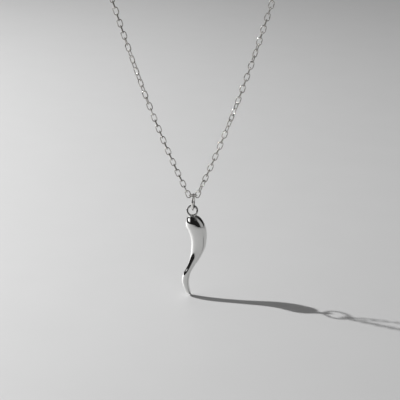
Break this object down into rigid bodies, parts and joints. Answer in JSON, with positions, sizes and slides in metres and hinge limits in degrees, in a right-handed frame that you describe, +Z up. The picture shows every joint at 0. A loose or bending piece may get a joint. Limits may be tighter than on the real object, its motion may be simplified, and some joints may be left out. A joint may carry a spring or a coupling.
{
  "type": "chili pepper charm necklace",
  "caption": "Fine cable chain necklace closed by a ring clasp, with a polished chili pepper charm hanging from a jump ring.",
  "frame": {"origin": "on the underside of the clasp, in the middle of the loop's top, where the necklace rests on the nape", "axes": "+Z up, +Y from the front of the necklace to its back, +X to the right as seen from the front"},
  "size_m": [0.0848, 0.0067, 0.1978],
  "materials": {
    "chain_silver": "bright drawn silver wire",
    "ring_silver": "polished silver",
    "pepper_silver": "mirror polished silver"
  },
  "bodies": {
    "necklace": {"chain_left": "chain_silver", "chain_right": "chain_silver", "clasp": "ring_silver", "end_ring": "ring_silver"},
    "hanger": {"middle_link": "chain_silver", "jump_ring": "ring_silver"},
    "charm": {"pepper": "pepper_silver"}
  },
  "joints": [
    {"name": "hanger_swing", "type": "hinge", "parent": "necklace", "child": "hanger", "pos_m": [0, 0.00011, -0.16668], "axis": [1, 0, 0], "range_deg": [-15, 60]},
    {"name": "charm_swing", "type": "hinge", "parent": "hanger", "child": "charm", "pos_m": [0.00005, 0.00056, -0.1707], "axis": [0, 1, 0], "range_deg": [-75, 75]}
  ]
}
